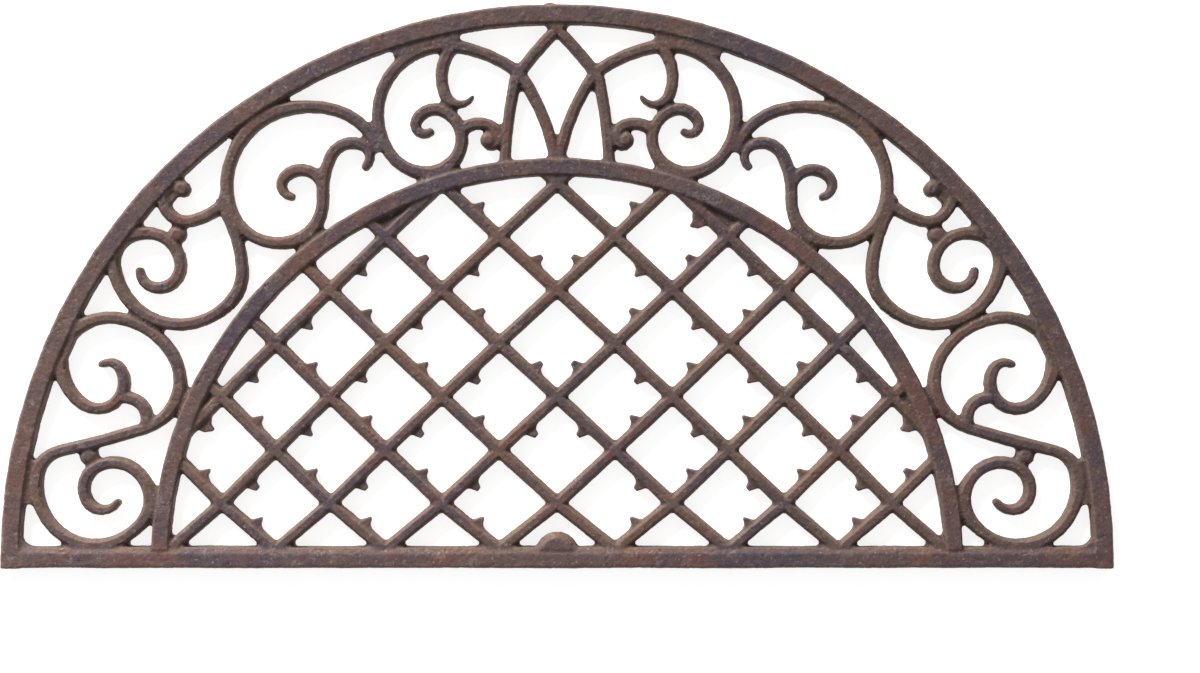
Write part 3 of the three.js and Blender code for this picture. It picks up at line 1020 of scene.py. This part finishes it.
@dataclass(frozen=True)
class Web:
    """A low web of iron that fills the crease between a scroll and the bow.

    Args:
        scroll: the scroll whose pattern carries the web.
        start: one end on plan, in the right half.
        end: the other end.
        width: width of the web.
        height: height of the web.
    """

    scroll: str
    start: tuple[float, float]
    end: tuple[float, float]
    width: float
    height: float

    def add(self, pattern: bmesh.types.BMesh, mirror: int) -> None:
        """Adds the web to a pattern.

        Args:
            pattern: the scroll's pattern.
            mirror: 1 in the right half and -1 in the left half.
        """
        start, end = (Vector((mirror * x, y, self.height / 2)) for x, y in (self.start, self.end))
        run = end - start
        place = Matrix.Translation((start + end) / 2)
        turn = Matrix.Rotation(float(np.arctan2(run.y, run.x)), 4, "Z")
        size = Matrix.Diagonal((run.length, self.width, self.height, 1))
        bmesh.ops.create_cube(pattern, size=1, matrix=place @ turn @ size)


@dataclass(frozen=True)
class Trim:
    """A line on plan to which the blunt root of a scroll is cut back.

    Args:
        scroll: the scroll that is cut.
        place: a point on the line, in the right half.
        outward: direction across the line, to the side that is cut away.
        reach: only what lies within this distance of the point is cut.
        bevel: how much further the crest is cut.
        crest: the crest lies above this height.
    """

    scroll: str
    place: tuple[float, float]
    outward: tuple[float, float]
    reach: float
    bevel: float
    crest: float

    def cut(self, pattern: bmesh.types.BMesh, mirror: int) -> None:
        """Moves what lies beyond the line back to it.

        Args:
            pattern: the scroll's pattern.
            mirror: 1 in the right half and -1 in the left half.
        """
        place = Vector((mirror * self.place[0], self.place[1]))
        outward = Vector((mirror * self.outward[0], self.outward[1])).normalized()
        for vert in pattern.verts:
            away = vert.co.xy - place
            over = away.dot(outward) + (self.bevel if vert.co.z > self.crest else 0)
            if over > 0 and away.length < self.reach:
                vert.co.xy -= over * outward


@dataclass
class ScrollBand(CastMembers):
    """The scrolls and beads of one half of the band.

    Args:
        side: which half.
        scrolls: the scrolls, from the crown to the base bar.
        beads: the beads that join curls to scrolls.
        band: radii of the arch's outer edge and the bow's inner edge.
        arch_drop: how far the arch's centre lies below the bow's.
        seat_reach: a scroll within this distance of a rim leans on it.
        seat_lean: how far it leans where it touches.
        crown_lean: the same for the crown scroll, which laps over the bow's bevel.
        webs: fills of the creases at the bow.
        trims: cuts of the roots.
    """

    finish: CastIronFinish = CastIronFinish("rusted_scrolls", 0.5, 0.7)
    side: Side = Side.RIGHT
    scrolls: tuple[str, ...] = ("crown", "upper", "middle", "lower", "hook")
    beads: tuple[str, ...] = ("middle", "lower")
    band: tuple[float, float] = (277.4 * MM, 366.2 * MM)
    arch_drop: float = 2.4 * MM
    seat_reach: float = 8.5 * MM
    seat_lean: float = 2.4 * MM
    crown_lean: float = 3 * MM
    webs: tuple[Web, ...] = (
        Web("crown", (67 * MM, 357.4 * MM), (112 * MM, 346 * MM), 4.8 * MM, 12.3 * MM),
        Web("hook", (254 * MM, 258.4 * MM), (268.5 * MM, 243.3 * MM), 6.5 * MM, 10.8 * MM),
        Web("lower", (326 * MM, 163.5 * MM), (342 * MM, 127.5 * MM), 4.6 * MM, 11.6 * MM),
        Web("lower", (358 * MM, 68 * MM), (361.5 * MM, 38 * MM), 4.6 * MM, 11.6 * MM),
    )
    trims: tuple[Trim, ...] = (
        Trim("middle", (229.2 * MM, 254 * MM), (0.906, 0.423), 12 * MM, 1.9 * MM, 11 * MM),
    )

    def members(self) -> list[str]:
        """Lists the half's scrolls and beads.

        Returns:
            Their names, from the crown to the base bar.
        """
        side = self.side.value
        scrolls = [f"{side}_{scroll}_scroll" for scroll in self.scrolls]
        return scrolls + [f"{side}_{bead}_bead" for bead in self.beads]

    def shape(self, name: str, pattern: bmesh.types.BMesh) -> None:
        """Leans a scroll on the rims that it touches, trims its root and fills its creases.

        Args:
            name: the member.
            pattern: its pattern.
        """
        most = self.crown_lean if name.endswith("crown_scroll") else self.seat_lean
        for vert in pattern.verts:
            for centre, radius in ((-self.arch_drop, self.band[0]), (0.0, self.band[1])):
                spoke = Vector((vert.co.x, vert.co.y - centre, 0))
                gap = radius - spoke.length
                if abs(gap) < self.seat_reach:
                    lean = most * (1 - abs(gap) / self.seat_reach)
                    vert.co += spoke.normalized() * (lean if gap > 0 else -lean)
        mirror = 1 if self.side is Side.RIGHT else -1
        for trim in self.trims:
            if name.endswith(f"{trim.scroll}_scroll"):
                trim.cut(pattern, mirror)
        for web in self.webs:
            if name.endswith(f"{web.scroll}_scroll"):
                web.add(pattern, mirror)


@dataclass(frozen=True)
class Thorn:
    """A thorn on a bar next to the arch.

    Args:
        bar: the bar whose pattern carries the thorn.
        root: where the thorn's hollow side leaves the bar, on plan.
        along: direction from there along the bar.
        outward: direction from the bar into the cell.
        height: height of the thorn.
        outline: the thorn's outline, along and outward from the root.
    """

    bar: str
    root: tuple[float, float]
    along: tuple[float, float]
    outward: tuple[float, float]
    height: float = 9.5 * MM
    outline: tuple[tuple[float, float], ...] = (
        (0, -3 * MM),
        (0, 0),
        (3.4 * MM, 2.9 * MM),
        (3.7 * MM, 6.6 * MM),
        (5.2 * MM, 6.9 * MM),
        (9.2 * MM, 4.1 * MM),
        (11.2 * MM, 0),
        (11.2 * MM, -3 * MM),
    )

    def add(self, pattern: bmesh.types.BMesh) -> None:
        """Adds the thorn to a pattern.

        Args:
            pattern: the bar's pattern.
        """
        root, along, outward = Vector(self.root), Vector(self.along), Vector(self.outward)
        plan = [root + u * along + v * outward for u, v in self.outline]
        rings = [[pattern.verts.new((*p, z)) for p in plan] for z in (0, self.height)]
        walls = zip(*rings, *(ring[1:] + ring[:1] for ring in rings))
        faces = [pattern.faces.new((a, c, d, b)) for a, b, c, d in walls]
        faces.extend(pattern.faces.new(ring) for ring in rings)
        bmesh.ops.recalc_face_normals(pattern, faces=faces)


@dataclass
class Lattice(CastMembers):
    """The thorned bars that cross inside the arch.

    Args:
        bars: bars that run each way.
        tip_offset: only a thorn's tip lies further than this from its bar's middle line.
        tip_reach: the points of one tip lie within this distance of each other.
        tip_share: width of a cast tip over that of the CAD tip.
        thorns: thorns that stand next to the arch.
    """

    finish: CastIronFinish = CastIronFinish("rusted_lattice", 0.5, 0.75)
    bars: int = 8
    tip_offset: float = 8 * MM
    tip_reach: float = 4 * MM
    tip_share: float = 2.2
    thorns: tuple[Thorn, ...] = (
        Thorn("falling_bar_1", (92.7 * MM, 236.1 * MM), (0.716, -0.698), (-0.698, -0.716)),
        Thorn("rising_bar_1", (-236.8 * MM, 96.6 * MM), (-0.716, -0.698), (0.698, -0.716)),
        Thorn("falling_bar_1", (236.8 * MM, 96.6 * MM), (0.716, -0.698), (-0.698, -0.716)),
    )

    def members(self) -> list[str]:
        """Names of all bars, those that rise to the right first."""
        return [
            f"lattice_{slant.value}_bar_{number}"
            for slant in Slant
            for number in range(1, self.bars + 1)
        ]

    def shape(self, name: str, pattern: bmesh.types.BMesh) -> None:
        """Blunts the thorns' tips, and adds the thorns next to the arch.

        Args:
            name: the member.
            pattern: its pattern.
        """
        places = np.asarray([vert.co.xy for vert in pattern.verts])
        middle = places.mean(axis=0)
        along = np.linalg.svd(places - middle, full_matrices=False)[2][0]
        offsets = (places - middle) @ np.asarray([-along[1], along[0]])
        tips = places[np.abs(offsets) > self.tip_offset]
        for vert, place, offset in zip(pattern.verts, places, offsets):
            if abs(offset) > self.tip_offset:
                tip = tips[np.linalg.norm(tips - place, axis=1) < self.tip_reach].mean(axis=0)
                step = along * ((place - tip) @ along) * (self.tip_share - 1)
                vert.co.xy = place + step
        for thorn in self.thorns:
            if name.endswith(thorn.bar):
                thorn.add(pattern)


# Studio


@dataclass
class Studio:
    """White floor, soft light from the crown's side, and a camera straight above the mat.

    Args:
        photo_width: width of the photograph, in its pixels.
        scale: metres on the mat's top for each of those pixels.
        height: camera's height over the floor.
        top: height of the mat's top, at which the scale holds.
        centre: where the camera looks, on the floor.
        floor_size: width of the floor.
        floor_colour: grey of the floor.
        floor_glow: how much of the floor's white the camera sees besides its light.
        floor_roughness: how dull the floor is.
        floor_gap: how far the floor lies below the mat.
        key_power: power of the main lamp, in watts.
        key_place: place of the main lamp.
        key_size: width of the main lamp.
        key_colour: its colour.
        ambient: strength of the light from all round.
        sensor: width of the camera's sensor, in millimetres.
    """

    photo_width: float = 1200
    scale: float = 0.6813 * MM
    height: float = 2.0
    top: float = 12 * MM
    centre: tuple[float, float] = (0.0293, 0.1527)
    floor_size: float = 60
    floor_colour: float = 0.8
    floor_glow: float = 0.8
    floor_roughness: float = 0.9
    floor_gap: float = 0.1 * MM
    key_power: float = 430
    key_place: tuple[float, float, float] = (-2.2, 4.1, 2.5)
    key_size: float = 1.8
    key_colour: Colour = (1.0, 0.96, 0.91)
    ambient: float = 0.275
    sensor: float = 36

    def build(self) -> None:
        """Makes the floor, the lamps and the camera."""
        self._floor()
        self._lamps()
        self._camera()
        bpy.context.scene.view_settings.view_transform = "Standard"

    def _floor(self) -> None:
        """Makes the floor, which keeps the mat's shadow."""
        half = self.floor_size / 2
        mesh = bpy.data.meshes.new("floor")
        corners = [(-half, -half, 0), (half, -half, 0), (half, half, 0), (-half, half, 0)]
        mesh.from_pydata(corners, [], [(0, 1, 2, 3)])
        floor = bpy.data.objects.new("floor", mesh)
        floor.location.z = -self.floor_gap
        bpy.context.scene.collection.objects.link(floor)
        material = bpy.data.materials.new("pale_floor")
        material.use_nodes = True
        tree = material.node_tree
        shader = tree.nodes["Principled BSDF"]
        shader.inputs["Base Color"].default_value = (*(self.floor_colour,) * 3, 1)
        shader.inputs["Roughness"].default_value = self.floor_roughness
        glow = tree.nodes.new("ShaderNodeEmission")
        rays = tree.nodes.new("ShaderNodeLightPath")
        seen = combine(tree, "MAXIMUM", rays.outputs["Is Camera Ray"], rays.outputs["Is Glossy Ray"])
        tree.links.new(combine(tree, "MULTIPLY", seen, self.floor_glow), glow.inputs["Strength"])
        both = tree.nodes.new("ShaderNodeAddShader")
        tree.links.new(shader.outputs["BSDF"], both.inputs[0])
        tree.links.new(glow.outputs["Emission"], both.inputs[1])
        tree.links.new(both.outputs["Shader"], tree.nodes["Material Output"].inputs["Surface"])
        mesh.materials.append(material)

    def _lamps(self) -> None:
        """Makes the main lamp and the light from all round."""
        data = bpy.data.lights.new("key", "AREA")
        data.energy = self.key_power
        data.size = self.key_size
        data.color = self.key_colour
        key = bpy.data.objects.new("key", data)
        key.location = self.key_place
        aim = Vector((*self.centre, 0)) - key.location
        key.rotation_euler = aim.to_track_quat("-Z", "Y").to_euler()
        bpy.context.scene.collection.objects.link(key)
        world = bpy.data.worlds.new("studio")
        bpy.context.scene.world = world
        world.use_nodes = True
        tree = world.node_tree
        rays = tree.nodes.new("ShaderNodeLightPath")
        level = combine(tree, "MAXIMUM", rays.outputs["Is Camera Ray"], self.ambient)
        background = tree.nodes["Background"]
        background.inputs["Color"].default_value = (1, 1, 1, 1)
        tree.links.new(level, background.inputs["Strength"])

    def _camera(self) -> None:
        """Makes the camera at the photograph's place."""
        data = bpy.data.cameras.new("camera")
        data.sensor_width = self.sensor
        data.lens = self.sensor * (self.height - self.top) / (self.photo_width * self.scale)
        camera = bpy.data.objects.new("camera", data)
        camera.location = (*self.centre, self.height)
        bpy.context.scene.collection.objects.link(camera)
        bpy.context.scene.camera = camera


def main() -> None:
    """Builds the mat, the floor, the lights and the camera."""
    logging.basicConfig(level=logging.INFO, format="%(message)s")
    groups = [RimFrame(), CrownRibs(), *(ScrollBand(side=side) for side in Side), Lattice()]
    patterns: Patterns = {}
    for group in groups:
        patterns.update(group.patterns())
    parting = Parting(Foundry().cast(patterns), list(patterns))
    for group in groups:
        group.build(parting)
    Studio().build()


if __name__ == "__main__":
    main()
